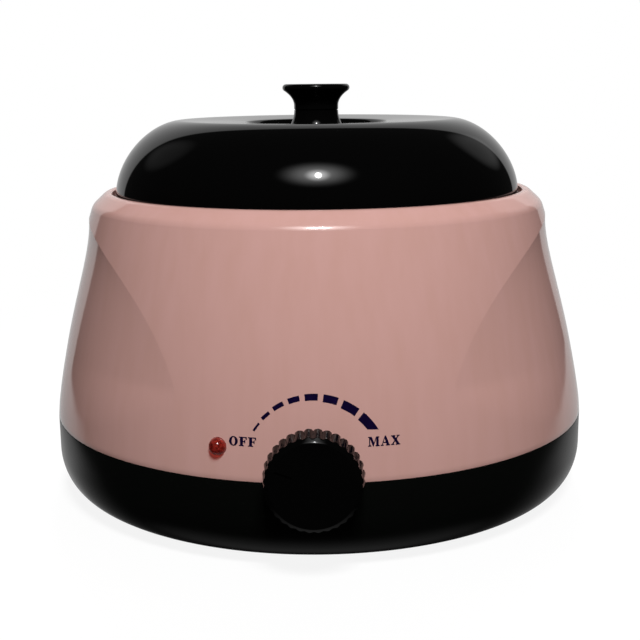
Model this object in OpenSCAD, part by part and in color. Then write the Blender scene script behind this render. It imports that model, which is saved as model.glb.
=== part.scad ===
// Wax warmer pot: a round electric warmer with a lift-out pot, a domed lid and a temperature dial.
// Millimetres, +Z up. The origin is on the body's axis, on the surface that the warmer stands on.
// The front, with the dial, faces -Y. Angles round the body are measured from the front towards +X.

/* [Body] */
// Outer diameter at the seam between the pan and the housing
body_d = 185.4; // [180:0.1:192]
// Wall of the plastic mouldings
wall = 2.5; // [2.2:0.1:2.8]
// Height of the housing from the seam to its shoulder
housing_h = 71.9; // [68:0.1:76]
// How far the housing's side bows out of a straight line
side_bow = 2.3; // [1.2:0.1:2.6]
// Height of the bevel between the shoulder and the rim
bevel_h = 4.1; // [3.6:0.1:5]
// Width of that bevel
bevel_w = 4.5; // [4:0.1:6]
// Width of the flat land round the mouth
rim_land = 2.1; // [1.6:0.1:2.6]
// Diameter of the mouth that the lid drops into
mouth_d = 142; // [140:0.1:144]
// Depth of the mouth down to its ledge
mouth_depth = 5; // [4:0.1:6]
// Thickness of the deck under the ledge
deck_t = 3.5; // [2.5:0.1:4]

/* [Hand grips] */
// Half of the angle that each side hollow spans
grip_half_angle = 59.4; // [50:0.1:70]
// Height of the hollow's widest place above the seam
grip_low = 24; // [20:0.5:28]
// Distance from the top of the hollow's crease to the shoulder
grip_top_gap = 3.3; // [3:0.1:6]
// Depth of the hollow at its widest place
grip_depth = 1.1; // [0.5:0.05:1.5]
// Height over which the hollow's depth grows by a factor e
grip_growth = 23; // [20:0.5:30]
// Height over which the hollow fades out below its widest place
grip_fade = 20; // [14:0.5:20]

/* [Base pan] */
// Height of the pan from its underside to the seam
pan_h = 25.5; // [25:0.5:30]
// Diameter of the pan's flat underside
pan_floor_d = 164; // [163:0.5:170]
// Height of the rounded corner round the pan
pan_round_h = 14.5; // [12:0.5:18]
// Height of the lip that centres the housing on the pan
lip_h = 3; // [2:0.1:3.4]
// Thickness of that lip
lip_t = 2; // [1.6:0.1:2.4]
// Clearance between the lip and the housing
lip_gap = 0.8; // [0.6:0.1:1.2]
// Diameter of the circle of the four housing screws
screw_circle_d = 152; // [151:0.5:154]
// Diameter of the pan's screw pillars
pillar_d = 10; // [9:0.1:10.5]
// Diameter of the housing's screw posts
post_d = 7; // [6.4:0.1:7.6]
// Length of the housing's screw posts
post_h = 20; // [18:0.5:24]
// Thickness of the ribs that join the posts to the wall
rib_t = 2; // [1.5:0.1:2.5]
// Number of cooling slots in the underside
vent_count = 12; // [8:1:16]
// Length of each cooling slot
vent_l = 18; // [12:0.5:22]
// Width of each cooling slot
vent_w = 3.2; // [2.5:0.1:4]

/* [Foot ring] */
// Height that the rubber ring stands proud of the underside
foot_h = 2.5; // [1.5:0.1:3]
// Depth of the groove that holds the ring
foot_groove = 1.4; // [1:0.1:1.6]
// Outer diameter of the ring
foot_d = 136; // [132:0.5:138]
// Width of the ring
foot_w = 8; // [5:0.5:9]

/* [Heating cup and wax pot] */
// Outer diameter of the fixed heating cup
cup_d = 125; // [123:0.1:126]
// Depth of the cup from its flange to its floor
cup_depth = 62; // [60:0.5:63]
// Thickness of the aluminium sheet
sheet = 1.2; // [1:0.1:1.4]
// Radius of the cup's bottom corner
cup_corner = 5; // [4:0.5:7]
// Clearance of the cup in the deck's hole
cup_hole_gap = 1.5; // [1:0.1:2]
// Clearance of the cup's flange in the mouth
flange_gap = 1; // [0.6:0.1:1.4]
// Clearance between the pot and the cup
pot_gap = 0.7; // [0.5:0.1:1]
// Height of the pot's rim above the cup's flange
pot_rim_gap = 0.4; // [0.3:0.1:0.6]
// Clearance of the pot's rim in the mouth
pot_mouth_gap = 2; // [1.6:0.1:2.6]

/* [Bail] */
// Diameter of the bail's wire
wire_d = 3; // [2.6:0.1:3.4]
// Radius of the bail's bow
bail_r = 50; // [46:0.5:50.5]
// Radius of the bends at the bow's ends
bail_bend = 4; // [3:0.1:4.5]
// Depth of the bail's pivot below the pot's rim
bail_drop = 6; // [5:0.1:8]
// Width of each ear
ear_w = 12; // [10:0.5:14]
// Height of each ear
ear_h = 9; // [8:0.5:10]
// Thickness of each ear at its middle
ear_t = 4; // [3.5:0.1:4.4]
// Clearance of the wire in the ears
pivot_gap = 0.06; // [0.04:0.01:0.09]

/* [Lid] */
// Clearance of the lid's skirt in the mouth
lid_gap = 1.4; // [1:0.1:1.8]
// Wall of the lid
lid_wall = 2.2; // [1.8:0.1:2.6]
// Height of the straight skirt
skirt_h = 1.5; // [1.2:0.1:3]
// Height of the dome above the skirt
dome_h = 24.4; // [20:0.1:26]
// Diameter of the dome's crest
crest_d = 94; // [88:0.5:98]
// Squareness of the dome's shoulder, where 2 is an ellipse
dome_power = 1.75; // [1.6:0.05:2.2]
// How far the flat top falls from the crest to the sunk middle
top_fall = 0.8; // [0:0.1:1.2]
// Diameter of the sunk middle at its edge
dish_d = 49.5; // [46:0.5:56]
// Diameter of the sunk middle's flat floor
dish_floor_d = 32; // [28:0.5:36]
// Depth of the sunk middle below the crest
dish_depth = 6.7; // [4:0.1:8]
// Height of the knob's boss above the crest
boss_rise = 3; // [2:0.1:5]
// Diameter of the boss at its top
boss_d = 15.2; // [14.6:0.1:16]
// How far the boss flares out at the dish's floor
boss_flare = 5.2; // [3:0.1:7]

/* [Knob] */
// Height of the knob
knob_h = 8.8; // [7.5:0.1:10]
// Diameter of the knob's neck
neck_d = 15.3; // [14.6:0.1:16]
// How far the knob's rim stands out from its neck
knob_flare = 3.95; // [3:0.05:5]
// Height of the straight neck
neck_h = 1.3; // [0.8:0.1:1.6]
// Radius of the knob's round rim
knob_round = 1.25; // [1:0.05:1.4]
// Diameter of the knob's screw
knob_screw_d = 4; // [3.5:0.1:4.4]
// Depth of the screw in the knob
knob_screw_grip = 4; // [3:0.1:5]

/* [Dial] */
// Height of the dial's axis above the seam
dial_rise = 3.8; // [3.4:0.1:5]
// Diameter of the dial's grip over its flutes, at the back
dial_d = 29.1; // [27:0.1:30]
// Length of the dial
dial_h = 11.6; // [10:0.1:13]
// Gap between the dial and the body
dial_gap = 0.9; // [0.6:0.1:1.4]
// Number of flutes round the dial
flute_count = 32; // [24:1:36]
// Height of the flutes at the back of the grip
flute_h = 0.75; // [0.5:0.05:0.9]
// Height of the flutes at the front of the grip
flute_front_h = 0.35; // [0.2:0.05:0.5]
// How far the grip's radius falls towards the front
grip_taper = 0.6; // [0.3:0.05:0.8]
// Width of the chamfer round the dial's face
face_chamfer_w = 1.45; // [1:0.05:1.8]
// Depth of that chamfer
face_chamfer_h = 1.2; // [0.8:0.05:1.6]
// Diameter of the plain collar behind the grip
collar_d = 22; // [20:0.1:24]
// Length of that collar
collar_h = 4.4; // [3:0.1:5]
// Wall of the dial
dial_wall = 2; // [1.6:0.1:2.4]
// Diameter of the hub inside the dial
hub_d = 11; // [10:0.1:12]
// Width of the pointer groove in the dial's face
pointer_w = 1; // [0.8:0.1:1.4]
// Angle of the pointer at OFF, from the right, counterclockwise
off_angle = 160; // [150:1:170]

/* [Thermostat] */
// Diameter of the thermostat's shaft
shaft_d = 6; // [5:0.1:6.4]
// Clearance round the shaft
shaft_gap = 0.05; // [0.02:0.01:0.09]
// Clearance of the shaft in the housing's notch
notch_gap = 1; // [0.8:0.1:1.4]
// Diameter of the thermostat's body
thermo_d = 23; // [20:0.5:24]
// Length of the thermostat's body
thermo_h = 9; // [8:0.5:10]
// Diameter of the thermostat's threaded bush
bush_d = 9; // [8.6:0.1:9.4]
// Thickness of the bracket's sheet
bracket_t = 1.2; // [1:0.1:1.5]
// Distance from the pan's lip to the bracket
bracket_gap = 3.4; // [3.2:0.1:4.5]
// Height of the posts under the bracket
bracket_post_h = 5.5; // [4:0.1:7]
// Length of the bracket's foot
bracket_foot_l = 18; // [16:0.5:20]
// Diameter of the small machine screws
small_screw_d = 3; // [2.6:0.1:3.2]

/* [Heater] */
// Thickness of the band heater
band_t = 2.8; // [2:0.1:3]
// Height of the band heater
band_h = 32; // [26:0.5:34]
// Height of the band above the cup's underside
band_rise = 15; // [14:0.5:18]
// Half of the opening between the band's ears
band_opening = 4; // [3:0.1:5]
// Length of the band's ears
band_ear_l = 11; // [10:0.5:12]
// Thickness of the insulation sleeve
sleeve_t = 5; // [3:0.1:5]
// Height of the insulation sleeve
sleeve_h = 46; // [42:0.5:46]
// Diameter of the cut-out's metal cap
cutout_d = 15.8; // [14:0.1:17]
// Half of the distance between the cut-out's studs
stud_x = 12; // [11.5:0.1:13]

/* [Lamp and cord inlet] */
// Diameter of the lamp's lens
lens_d = 5.3; // [4.6:0.1:6]
// Angle of the lamp round the body
lamp_az = -17.7; // [-21:0.1:-16]
// Height of the lamp above the seam
lamp_rise = 9.7; // [8:0.1:14]
// Bore of the cord inlet
cord_d = 6.4; // [6:0.1:7]
// Height of the cord inlet above the underside
cord_rise = 14; // [13:0.1:15]
// Diameter of the inlet's flange
gland_d = 16; // [14.5:0.1:17]
// Thickness of the inlet's flange
gland_t = 2.4; // [1.8:0.1:3]
// Width of the terminal block
block_w = 34; // [32:0.5:38]

/* [Hidden] */
$fn = 96;

// A cut runs this far past the face that it opens
over = 1;
// Clearance of screws and pegs in their holes
screw_gap = 0.15;
// Gap at seated round faces inside the body
seat_gap = 0.05;

pink = "#C9958B";
black = "#1B1C1B";
gloss_black = "#121313";
steel = "#B9BBBD";
aluminium = "#C9CCCE";

body_r = body_d / 2;
mouth_r = mouth_d / 2;
shoulder_r = mouth_r + rim_land + bevel_w;
seam_z = foot_h + pan_h;
shoulder_z = seam_z + housing_h;
rim_z = shoulder_z + bevel_h;
ledge_z = rim_z - mouth_depth;

// Hand grips: each hollow is bounded above by half an ellipse, whose edge is the crease
grip_z = seam_z + grip_low;
grip_rise = housing_h - grip_low - grip_top_gap;
bib_columns = 12;
grip_columns = 10;
quarter = bib_columns + grip_columns;
low_rows = 5;
arch_rows = 12;
// Angle that the columns of the hollow keep at the top of the crease
crown_strip = 3;

// Base pan
pan_floor_r = pan_floor_d / 2;
pan_top_floor = foot_h + wall;
lip_r = body_r - wall - lip_gap;
lip_root = 5;
screw_r = screw_circle_d / 2;
screw_angles = [45, 135, 225, 315];
screw_d = 3.2;
screw_head_d = 6.6;
screw_head_h = 2.4;
well_depth = 12;
vent_r = 32;

// Cup and pot
cup_r = cup_d / 2;
cup_top = ledge_z + sheet;
cup_floor = cup_top - cup_depth;
cup_under = cup_floor - sheet;
pot_r = cup_r - sheet - pot_gap;
pot_corner = cup_corner + pot_gap;
pot_rim_r = mouth_r - pot_mouth_gap;
pot_rim_z = cup_top + pot_rim_gap;
pot_top = pot_rim_z + sheet;
pot_inner_r = pot_r - sheet;

// Bail
bail_z = pot_top - bail_drop;
ear_inner = pot_inner_r - ear_t;
pin_end_gap = 0.6;

// Lid and knob
skirt_r = mouth_r - lid_gap;
dome_z = pot_top + skirt_h;
crest_r = crest_d / 2;
crest_z = dome_z + dome_h;
dish_z = crest_z - dish_depth;
boss_z = crest_z + boss_rise;
knob_screw_head_d = 7;
knob_screw_head_h = 2.4;
boss_web = 4;
knob_top = boss_z + knob_h;
edge_chamfer = 0.4;

// Dial and thermostat, along -Y from the body's axis
dial_z = seam_z + dial_rise;
dial_back = body_r + dial_gap;
dial_front = dial_back + dial_h;
dial_r = dial_d / 2;
collar_r = collar_d / 2;
pointer_l = 5;
pointer_edge = 1;
pointer_depth = 0.5;
shaft_r = shaft_d / 2;
shaft_flat = 0.8;
hub_face = 2.4;
bracket_front = lip_r - lip_t - bracket_gap;
bracket_back = bracket_front - bracket_t;
bush_nut_t = 2.8;
bush_nut_flats = 11;
bush_tail = 0.3;
bush_end = bracket_front + bush_nut_t + bush_tail;
stack_w = 12;
stack_l = 4;
stack_h = 16;
stack_tab_x = 4;
// Flat tabs that the leads push on
tab_w = 6.3;
tab_t = 0.8;
tab_l = 8;
bracket_w = thermo_d + 3;
bracket_z = pan_top_floor + bracket_post_h;
bracket_screw_x = bracket_w / 2 - 4;
bracket_screw_y = bracket_back - bracket_foot_l + 5;

// Heater, round the cup
band_r = cup_r + seat_gap;
band_z = cup_under + band_rise;
sleeve_r = band_r + band_t + seat_gap;
sleeve_z = band_z - (sleeve_h - band_h) / 2;
sleeve_opening = 12;
band_ear_t = 1.5;
band_ear_edge = 5;
band_bolt_r = band_r + band_t + band_ear_l - band_ear_edge;
band_bolt_d = 4;
band_bolt_flats = 7;
band_bolt_head = 2.8;
band_nut_t = 3.2;
band_bolt_tail = 1.3;

// Cut-out, under the middle of the cup
cutout_cap_h = 3;
cutout_plate_t = 0.8;
cutout_body_h = 8;
cutout_step = 0.7;
cutout_plate_w = 8;
cutout_tab_y = 4;
cutout_nut_flats = 5.5;
cutout_nut_t = 2.2;
stud_d = 3;
stud_l = 6;

// Lamp, on the wall left of the dial
lens_r = lens_d / 2;
lamp_z = seam_z + lamp_rise;
lens_wall = 0.5;
lens_back = 5;

// Cord inlet and terminal block, at the rear
cord_z = foot_h + cord_rise;
gland_seat = body_r + 0.2;
gland_neck_d = cord_d + 3.6;
gland_neck_l = 12;
gland_pad = 6.5;
gland_nut_t = 3;
gland_nut_flats = 13;
block_y = 50;
block_l = 16;
block_h = 14;
block_ways = 3;
peg_d = 3.2;

// Shared shapes

// A point round the body's axis
function around(phi, r, z) = [r * sin(phi), -r * cos(phi), z];

// A closed solid through rings of equally many points, from the lowest ring up
module loft(rings) {
    n = len(rings[0]);
    rows = len(rings);
    sides = [
        for (i = [0 : rows - 2], k = [0 : n - 1])
            let (a = i * n + k, b = i * n + (k + 1) % n)
            each [[a, a + n, b + n], [a, b + n, b]]
    ];
    bottom = [for (k = [0 : n - 1]) k];
    top = [for (k = [n - 1 : -1 : 0]) (rows - 1) * n + k];
    polyhedron([for (ring = rings) each ring], concat([bottom], sides, [top]));
}

// Half outline of a round bowl, from the axis along its floor and up its side
function bowl_curve(r, floor_z, top_z, corner) = concat(
    [[0, floor_z]],
    [for (a = [0 : 15 : 90]) [r - corner + corner * sin(a), floor_z + corner - corner * cos(a)]],
    [[r, top_z]]
);

function reversed(points) = [for (i = [len(points) - 1 : -1 : 0]) points[i]];

// Turns a shape that stands on +Z so that it points out of the body at an angle from the front
module facing(phi, r, z) {
    rotate([0, 0, phi])
        translate([0, -r, z])
            rotate([90, 0, 0])
                children();
}

module hex_nut(flats, thickness, hole_d) {
    difference() {
        cylinder(d = flats / cos(30), h = thickness, $fn = 6);
        translate([0, 0, -over])
            cylinder(d = hole_d, h = thickness + 2 * over);
    }
}

module at_screws() {
    for (phi = screw_angles)
        rotate([0, 0, phi])
            translate([0, -screw_r, 0])
                children();
}

// Pink moulded housing

// Radius of the side without the hollows
function side_r(z) =
    let (t = (z - seam_z) / housing_h)
    body_r - (body_r - shoulder_r) * t + 4 * side_bow * t * (1 - t);

// Depth of a hand grip at an angle from the front, within a quarter turn
function grip_cut(phi, z) =
    let (
        up = z - grip_z,
        across = (90 - phi) / grip_half_angle,
        along = up / (up > 0 ? grip_rise : grip_fade),
        e = across * across + along * along
    )
    e < 1 ? grip_depth * exp(up / grip_growth) * (1 - e) : 0;

// Angle of the crease at a height
function crease_phi(z) =
    let (u = min(1, max(0, (z - grip_z) / grip_rise)))
    min(90 - crown_strip, 90 - grip_half_angle * sqrt(1 - u * u));

// Angle of a column within its quarter turn: the columns close up on the crease
function column_phi(j, z) =
    let (c = crease_phi(z))
    j <= bib_columns ? c * j / bib_columns : c + (90 - c) * (j - bib_columns) / grip_columns;

function quarter_phi(k, z) =
    let (odd = floor(k / quarter) % 2, j = k % quarter)
    column_phi(odd ? quarter - j : j, z);

function whole_phi(k, z) =
    let (q = floor(k / quarter))
    q % 2 ? (q + 1) * 90 - quarter_phi(k, z) : q * 90 + quarter_phi(k, z);

function skin_ring(z, inset) = [
    for (k = [0 : 4 * quarter - 1])
        around(whole_phi(k, z), side_r(z) - grip_cut(quarter_phi(k, z), z) - inset, z)
];

skin_rows = concat(
    [for (i = [0 : low_rows - 1]) seam_z + grip_low * i / low_rows],
    [for (i = [0 : arch_rows]) grip_z + grip_rise * sin(90 * i / arch_rows)],
    [shoulder_z]
);
rim_ring = [
    for (k = [0 : 4 * quarter - 1])
        around(whole_phi(k, shoulder_z), mouth_r + rim_land, rim_z)
];
cavity_top = ledge_z - deck_t;
cavity_rows = concat([for (z = skin_rows) if (z < cavity_top - over) z], [cavity_top]);

module housing_shell() {
    difference() {
        loft(concat([for (z = skin_rows) skin_ring(z, 0)], [rim_ring]));
        loft(concat(
            [[for (p = skin_ring(seam_z, wall)) p - [0, 0, over]]],
            [for (z = cavity_rows) skin_ring(z, wall)]
        ));
    }
}

// Screw post with the rib that joins it to the wall
module housing_post() {
    rib_end = side_r(seam_z + post_h) - wall / 2 - grip_cut(45, seam_z + post_h);
    rib_z = seam_z + lip_h + over;
    translate([0, 0, seam_z])
        cylinder(d = post_d, h = post_h);
    translate([-rib_t / 2, screw_r - rib_end, rib_z])
        cube([rib_t, rib_end - screw_r, seam_z + post_h - rib_z]);
}

// Notch at the seam that the thermostat's shaft passes through
module shaft_notch() {
    notch_r = shaft_r + notch_gap;
    facing(0, body_r - 3 * wall, dial_z)
        cylinder(r = notch_r, h = 6 * wall);
    translate([-notch_r, -body_r - wall, seam_z - over])
        cube([2 * notch_r, 4 * wall, dial_rise + over]);
}

module upper_housing() {
    color(pink)
        difference() {
            union() {
                housing_shell();
                at_screws()
                    housing_post();
            }
            translate([0, 0, ledge_z])
                cylinder(r = mouth_r, h = mouth_depth + over);
            translate([0, 0, cavity_top - over])
                cylinder(r = cup_r + cup_hole_gap, h = deck_t + 2 * over);
            at_screws()
                translate([0, 0, seam_z - over])
                    cylinder(d = screw_d + 2 * seat_gap, h = post_h - over);
            shaft_notch();
            facing(lamp_az, side_r(lamp_z) - 3 * wall, lamp_z)
                cylinder(d = lens_d + 2 * seat_gap, h = 6 * wall);
        }
}

// Black moulded pan

function pan_curve(floor_r, floor_z, out_r, round_h) = [
    for (a = [0 : 6 : 90])
        [floor_r + (out_r - floor_r) * sin(a), floor_z + round_h * (1 - cos(a))]
];

module pan_shell() {
    rotate_extrude()
        polygon(concat(
            [[0, foot_h]],
            pan_curve(pan_floor_r, foot_h, body_r, pan_round_h),
            [[body_r, seam_z], [body_r - wall, seam_z]],
            reversed(pan_curve(pan_floor_r, pan_top_floor, body_r - wall, pan_round_h - wall)),
            [[0, pan_top_floor]]
        ));
    rotate_extrude()
        polygon([
            [lip_r - lip_t, seam_z - lip_root],
            [body_r - wall / 2, seam_z - lip_root],
            [body_r - wall / 2, seam_z],
            [lip_r, seam_z],
            [lip_r, seam_z + lip_h],
            [lip_r - lip_t, seam_z + lip_h]
        ]);
}

module vent_slot() {
    translate([0, 0, foot_h - over])
        linear_extrude(wall + 2 * over)
            union() {
                translate([0, -vent_w / 2])
                    square([vent_l - vent_w, vent_w]);
                for (x = [0, vent_l - vent_w])
                    translate([x, 0])
                        circle(d = vent_w);
            }
}

module at_bracket_screws() {
    for (x = [-bracket_screw_x, bracket_screw_x])
        translate([x, -bracket_screw_y, 0])
            children();
}

module at_block_pegs() {
    for (x = [-1, 1])
        translate([x * (block_w / 2 - 4), block_y, 0])
            children();
}

module base_pan() {
    post_root = pan_top_floor - wall / 2;
    color(black)
        difference() {
            union() {
                pan_shell();
                at_screws()
                    translate([0, 0, post_root])
                        cylinder(d = pillar_d, h = seam_z - post_root);
                at_bracket_screws()
                    translate([0, 0, post_root])
                        cylinder(d = small_screw_d + 5, h = bracket_z - post_root);
                at_block_pegs()
                    translate([0, 0, post_root])
                        cylinder(d = peg_d, h = block_h + wall / 2);
                facing(180, gland_seat - gland_pad, cord_z)
                    cylinder(d = gland_d + 1, h = gland_pad);
            }
            at_screws() {
                translate([0, 0, foot_h - over])
                    cylinder(d = screw_head_d + 2 * screw_gap, h = well_depth + over);
                translate([0, 0, foot_h])
                    cylinder(d = screw_d + 2 * screw_gap, h = pan_h + over);
            }
            at_bracket_screws()
                translate([0, 0, pan_top_floor])
                    cylinder(d = small_screw_d + 2 * seat_gap, h = bracket_post_h + over);
            facing(180, gland_seat - gland_pad - over, cord_z)
                cylinder(d = gland_neck_d + 2 * screw_gap, h = gland_pad + 2 * over);
            translate([0, 0, foot_h - over])
                difference() {
                    cylinder(d = foot_d + 2 * seat_gap, h = foot_groove + over);
                    cylinder(d = foot_d - 2 * foot_w - 2 * seat_gap, h = foot_groove + over);
                }
            for (i = [0 : vent_count - 1])
                rotate([0, 0, 360 * i / vent_count])
                    translate([vent_r - vent_l / 2, 0, 0])
                        vent_slot();
            translate([-bush_d, -body_r, seam_z])
                cube([2 * bush_d, body_r - bracket_front, lip_h + over]);
        }
}

module foot_ring() {
    color("#2A2A2A")
        difference() {
            cylinder(d = foot_d, h = foot_h + foot_groove);
            translate([0, 0, -over])
                cylinder(d = foot_d - 2 * foot_w, h = foot_h + foot_groove + 2 * over);
        }
}

module housing_screws() {
    head_z = foot_h + well_depth - screw_head_h;
    color(steel)
        at_screws() {
            translate([0, 0, head_z])
                cylinder(d = screw_head_d, h = screw_head_h);
            translate([0, 0, head_z])
                cylinder(d = screw_d, h = seam_z + post_h - 3 * over - head_z);
        }
}

// Heating cup with its heater

module heating_cup() {
    flange_r = mouth_r - flange_gap;
    color(aluminium) {
        rotate_extrude()
            polygon(concat(
                bowl_curve(cup_r, cup_under, ledge_z, cup_corner),
                [[flange_r, ledge_z], [flange_r, cup_top]],
                reversed(bowl_curve(cup_r - sheet, cup_floor, cup_top, cup_corner - sheet))
            ));
        for (x = [-stud_x, stud_x])
            translate([x, 0, cup_under - stud_l])
                cylinder(d = stud_d, h = stud_l + sheet / 2);
    }
}

module heater_band() {
    open_angle = asin(band_opening / band_r);
    color("#8C8578")
        difference() {
            union() {
                translate([0, 0, band_z])
                    rotate([0, 0, 90 + open_angle])
                        rotate_extrude(angle = 360 - 2 * open_angle)
                            translate([band_r, 0])
                                square([band_t, band_h]);
                for (x = [-band_opening - band_ear_t, band_opening])
                    translate([x, band_r + band_t / 2, band_z])
                        cube([band_ear_t, band_t / 2 + band_ear_l, band_h]);
            }
            translate([-2 * band_opening, band_bolt_r, band_z + band_h / 2])
                rotate([0, 90, 0])
                    cylinder(d = band_bolt_d + 2 * screw_gap, h = 4 * band_opening);
        }
}

module band_bolt() {
    ear_face = band_opening + band_ear_t;
    color(steel)
        translate([-ear_face, band_bolt_r, band_z + band_h / 2])
            rotate([0, 90, 0]) {
                cylinder(d = band_bolt_d, h = 2 * ear_face + band_nut_t + band_bolt_tail);
                translate([0, 0, -band_bolt_head])
                    cylinder(d = band_bolt_flats / cos(30), h = band_bolt_head, $fn = 6);
            }
}

module band_nut() {
    color(steel)
        translate([band_opening + band_ear_t, band_bolt_r, band_z + band_h / 2])
            rotate([0, 90, 0])
                hex_nut(band_bolt_flats, band_nut_t, band_bolt_d + 2 * seat_gap);
}

module insulation_sleeve() {
    open_angle = asin(sleeve_opening / sleeve_r);
    color("#E6E1D2")
        translate([0, 0, sleeve_z])
            rotate([0, 0, 90 + open_angle])
                rotate_extrude(angle = 360 - 2 * open_angle)
                    translate([sleeve_r, 0])
                        square([sleeve_t, sleeve_h]);
}

module thermal_cutout() {
    plate_z = cup_under - cutout_cap_h - cutout_plate_t;
    body_z = plate_z - cutout_body_h;
    color("#B5A88A") {
        translate([0, 0, plate_z])
            cylinder(d = cutout_d, h = cutout_cap_h + cutout_plate_t);
        difference() {
            translate([0, 0, plate_z])
                linear_extrude(cutout_plate_t)
                    union() {
                        translate([-stud_x, -cutout_plate_w / 2])
                            square([2 * stud_x, cutout_plate_w]);
                        for (x = [-stud_x, stud_x])
                            translate([x, 0])
                                circle(d = cutout_plate_w);
                    }
            for (x = [-stud_x, stud_x])
                translate([x, 0, plate_z - over])
                    cylinder(d = stud_d + 2 * screw_gap, h = cutout_plate_t + 2 * over);
        }
        translate([0, 0, body_z])
            cylinder(d = cutout_d - 2 * cutout_step, h = cutout_body_h + cutout_plate_t);
        for (y = [-cutout_tab_y, cutout_tab_y])
            translate([-tab_w / 2, y - tab_t / 2, body_z - tab_l])
                cube([tab_w, tab_t, tab_l + over]);
    }
}

module cutout_nuts() {
    color(steel)
        for (x = [-stud_x, stud_x])
            translate([x, 0, cup_under - cutout_cap_h - cutout_plate_t - cutout_nut_t])
                hex_nut(cutout_nut_flats, cutout_nut_t, stud_d + 2 * seat_gap);
}

// Thermostat behind the dial

module thermostat_body() {
    stack_y = bracket_back - thermo_h;
    color("#D8D2C4")
        difference() {
            union() {
                facing(0, stack_y, dial_z)
                    cylinder(d = thermo_d, h = thermo_h);
                facing(0, stack_y + over, dial_z)
                    cylinder(d = bush_d, h = bush_end - stack_y - over);
                translate([-stack_w / 2, -stack_y - over, dial_z - stack_h / 2])
                    cube([stack_w, stack_l + over, stack_h]);
                for (x = [-stack_tab_x, stack_tab_x])
                    translate([x - tab_t / 2, -stack_y, dial_z - stack_h / 2 - tab_w + over])
                        cube([tab_t, stack_l, tab_w]);
            }
            facing(0, stack_y + thermo_h / 2, dial_z)
                cylinder(r = shaft_r + shaft_gap, h = bush_end - stack_y);
        }
}

module thermostat_nut() {
    color(steel)
        facing(0, bracket_front, dial_z)
            hex_nut(bush_nut_flats, bush_nut_t, bush_d + 2 * seat_gap);
}

module thermostat_bracket() {
    plate_top = dial_z + thermo_d / 2 + 1.5;
    color(steel)
        difference() {
            union() {
                translate([-bracket_w / 2, -bracket_front, bracket_z])
                    cube([bracket_w, bracket_t, plate_top - bracket_z]);
                translate([-bracket_w / 2, -bracket_front, bracket_z])
                    cube([bracket_w, bracket_t + bracket_foot_l, bracket_t]);
            }
            facing(0, bracket_back - over, dial_z)
                cylinder(d = bush_d + 2 * screw_gap, h = bracket_t + 2 * over);
            at_bracket_screws()
                translate([0, 0, bracket_z - over])
                    cylinder(d = small_screw_d + 2 * screw_gap, h = bracket_t + 2 * over);
        }
}

module bracket_screws() {
    head_h = 1.8;
    color(steel)
        at_bracket_screws() {
            translate([0, 0, bracket_z + bracket_t])
                cylinder(d = small_screw_d + 2.4, h = head_h);
            translate([0, 0, pan_top_floor + over])
                cylinder(d = small_screw_d, h = bracket_z + bracket_t - pan_top_floor);
        }
}

module thermostat_shaft() {
    inner_end = bracket_back - thermo_h / 2 + over;
    flat_start = dial_back + 2;
    outer_end = dial_front - hub_face - over;
    color(steel)
        difference() {
            facing(0, inner_end, dial_z)
                cylinder(r = shaft_r, h = outer_end - inner_end);
            translate([-shaft_d, -dial_front, dial_z + shaft_r - shaft_flat])
                cube([2 * shaft_d, dial_front - flat_start, shaft_d]);
        }
}

// Fluted dial: a tapered grip on a plain collar, open at the back, with a hub on the shaft's flat

module dial_outline() {
    front_r = dial_r - grip_taper;
    rotate_extrude()
        polygon([
            [0, 0], [collar_r, 0], [collar_r, collar_h], [dial_r, collar_h],
            [front_r, dial_h - face_chamfer_h], [front_r - face_chamfer_w, dial_h], [0, dial_h]
        ]);
}

module dial_grip() {
    flute_d = PI * dial_d / flute_count;
    grip_l = dial_h - face_chamfer_h - collar_h;
    lean = atan(grip_taper / grip_l);
    back_r = dial_r - flute_h;
    front_r = dial_r - grip_taper - flute_front_h;
    translate([0, 0, collar_h]) {
        cylinder(r1 = back_r, r2 = front_r, h = grip_l);
        for (i = [0 : flute_count - 1])
            rotate([0, 0, 360 * (i + 0.5) / flute_count])
                translate([dial_r - flute_d / 2, 0, 0])
                    rotate([0, -lean, 0])
                        translate([0, 0, -flute_d])
                            cylinder(d = flute_d, h = grip_l + 2 * flute_d, $fn = 24);
        translate([0, 0, grip_l])
            cylinder(r = front_r, h = face_chamfer_h);
        translate([0, 0, -collar_h])
            cylinder(r = collar_r, h = collar_h + over);
    }
}

module dial_shaft_hole() {
    difference() {
        translate([0, 0, -over])
            cylinder(r = shaft_r + shaft_gap, h = dial_h - hub_face + over);
        translate([-shaft_d, shaft_r - shaft_flat + shaft_gap, 2])
            cube([2 * shaft_d, shaft_d, dial_h]);
    }
}

module control_dial() {
    face_r = dial_r - grip_taper - face_chamfer_w;
    color(black)
        facing(0, dial_back, dial_z)
            difference() {
                intersection() {
                    dial_outline();
                    dial_grip();
                }
                difference() {
                    translate([0, 0, -over])
                        cylinder(r = collar_r - dial_wall, h = dial_h - hub_face + over);
                    cylinder(d = hub_d, h = dial_h);
                }
                dial_shaft_hole();
                rotate([0, 0, off_angle])
                    translate([face_r - pointer_l - pointer_edge, -pointer_w / 2, dial_h - pointer_depth])
                        cube([pointer_l, pointer_w, over]);
            }
}

// Lamp: a red lens through the wall, held by a clip, with a glow lamp behind it

module indicator_lens() {
    skin = side_r(lamp_z);
    back = skin - wall - lens_back;
    color("#7A1420")
        facing(lamp_az, back, lamp_z)
            difference() {
                union() {
                    cylinder(r = lens_r, h = wall + lens_back);
                    translate([0, 0, wall + lens_back])
                        sphere(r = lens_r);
                    translate([0, 0, -over])
                        cylinder(r = lens_r, h = over);
                }
                translate([0, 0, -2 * over])
                    cylinder(r = lens_r - lens_wall, h = wall + lens_back);
            }
}

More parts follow.
